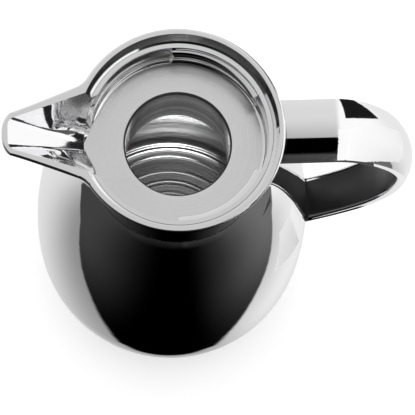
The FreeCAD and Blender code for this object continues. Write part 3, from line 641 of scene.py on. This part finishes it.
# %% Grooved lid ring
merge_distance = 0.0005 * MM
sharp_angle = math.radians(35)
ring_mesh = nodes["lid_ring"].data.copy()
ring_mesh.name = "grooved_lid_ring"
bm = bmesh.new()
bm.from_mesh(ring_mesh)
bmesh.ops.remove_doubles(bm, verts=bm.verts, dist=merge_distance)
bm.to_mesh(ring_mesh)
bm.free()
grooved_ring = bpy.data.objects.new("grooved_lid_ring", ring_mesh)
scene.collection.objects.link(grooved_ring)
for cutter in cutters:
    cut = grooved_ring.modifiers.new(cutter.name, "BOOLEAN")
    cut.operation = "DIFFERENCE"
    cut.solver = "EXACT"
    cut.object = cutter
depsgraph = bpy.context.evaluated_depsgraph_get()
cut_mesh = bpy.data.meshes.new_from_object(grooved_ring.evaluated_get(depsgraph))
grooved_ring.modifiers.clear()
grooved_ring.data = cut_mesh
for cutter in cutters:
    bpy.data.objects.remove(cutter)
cut_mesh.shade_smooth()
cut_mesh.set_sharp_from_angle(angle=sharp_angle)
cut_mesh.materials.clear()
cut_mesh.materials.append(looks["polished_collar"])
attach(grooved_ring, "root")
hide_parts("lid_ring")
print("grooved_lid_ring", len(cut_mesh.polygons), "faces")

# %% [markdown]
# Two more pieces are round all the way, so they need no cutter: an outline that starts and ends on the axis
# and turns through the full circle gives a closed piece at once.

# %% Turned pieces
turn_steps = 240


def turned_piece(name, outline, slot, node):
    """A closed piece: an outline in millimetres, from the axis out and back to the axis, turned all the way round."""
    bm = bmesh.new()
    turns = [2 * math.pi * step / turn_steps for step in range(turn_steps)]
    columns = []
    for r, z in outline:
        if r == 0:
            columns.append([bm.verts.new((0, 0, z * MM))] * turn_steps)
        else:
            columns.append([bm.verts.new(turned_point(r, z, angle)) for angle in turns])
    for inner, outer in zip(columns, columns[1:]):
        for k in range(turn_steps):
            n = (k + 1) % turn_steps
            corners = [inner[k], outer[k], outer[n], inner[n]]
            bm.faces.new(list(dict.fromkeys(corners)))
    piece = placed(name, bm)
    mesh = piece.data
    mesh.shade_smooth()
    mesh.set_sharp_from_angle(angle=sharp_angle)
    mesh.materials.append(looks[slot])
    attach(piece, "root")
    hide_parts(node)
    print(name, len(mesh.polygons), "faces")


# %% [markdown]
# The flask's bottom is pressed from sheet, and rings are pressed into it so that the thin floor stays stiff.
# Looking into the mouth, those rings are the arcs that catch the light. A bump map would only hint at them,
# because the arcs come from how the raised metal mirrors the rest of the flask, so they are real forms here.
# Each ring is a wave of one crest, added to the height of the floor. The underside stays plain.

# %% Ringed flask bottom
sheet_thickness = 0.7
pressed_rings = [  # radius, half width, height
    (46.9, 1.3, 0.45), (41.4, 0.9, 0.18), (34.2, 1.2, 0.20),
    (29.2, 1.0, 0.22), (27.0, 0.8, 0.14), (23.2, 0.9, 0.14),
]


def ring_rise(r):
    """How far the pressed rings lift the floor at a radius."""
    return sum(height * (0.5 + 0.5 * math.cos(math.pi * (r - centre) / half))
               for centre, half, height in pressed_rings if abs(r - centre) < half)


def curve_line(corners, steps):
    """Points along the cubic curve with four control corners."""
    points = []
    for step in range(steps + 1):
        t = step / steps
        weights = [(1 - t) ** 3, 3 * t * (1 - t) ** 2, 3 * t * t * (1 - t), t ** 3]
        points.append(tuple(sum(w * corner[k] for w, corner in zip(weights, corners)) for k in (0, 1)))
    return points


crown = [(0, 26.3), (18.4, 24.3)]
cone_start, cone_end = (20, 22.7), (43.1, 19.7)
cone_slope = (cone_end[1] - cone_start[1]) / (cone_end[0] - cone_start[0])
spacing, cone_points = 0.2, 116
cone = [(cone_start[0] + spacing * k, cone_start[1] + cone_slope * spacing * k) for k in range(cone_points)]
inside_corner = [cone_end, (49.6, 19.7), (54.4, 24.5), (54.4, 35)]
outside_corner = [(43.1, 19.0), (50.3, 19.0), (55.1, 23.8), (55.1, 35)]
top_line = [(r, z + ring_rise(r)) for r, z in crown + cone + curve_line(inside_corner, 80)]
underside = [(r, z - sheet_thickness) for r, z in [cone_start, *crown[::-1]]]
flask_outline = top_line + curve_line(outside_corner, 40)[::-1] + underside
turned_piece("ringed_flask_bottom", flask_outline, "flask_steel", "flask_bottom")

# %% [markdown]
# The foot pad has grooves in its underside, so that it grips and does not stick to a wet table.
# They are rings too, so the same function makes the pad.

# %% Grooved foot pad
pad_radius, pad_height, pad_bevel = 40, 2.0, 0.6
groove_depth, groove_width, groove_slope = 0.6, 1, 0.25
pad_line = [(0, pad_height), (pad_radius, pad_height), (pad_radius, pad_bevel), (pad_radius - pad_bevel, 0)]
for outer in range(37, 12, -4):
    inner = outer - groove_width
    pad_line += [(outer, 0), (outer - groove_slope, groove_depth), (inner + groove_slope, groove_depth), (inner, 0)]
turned_piece("grooved_foot_pad", pad_line + [(0, 0)], "foot_rubber", "foot_pad")
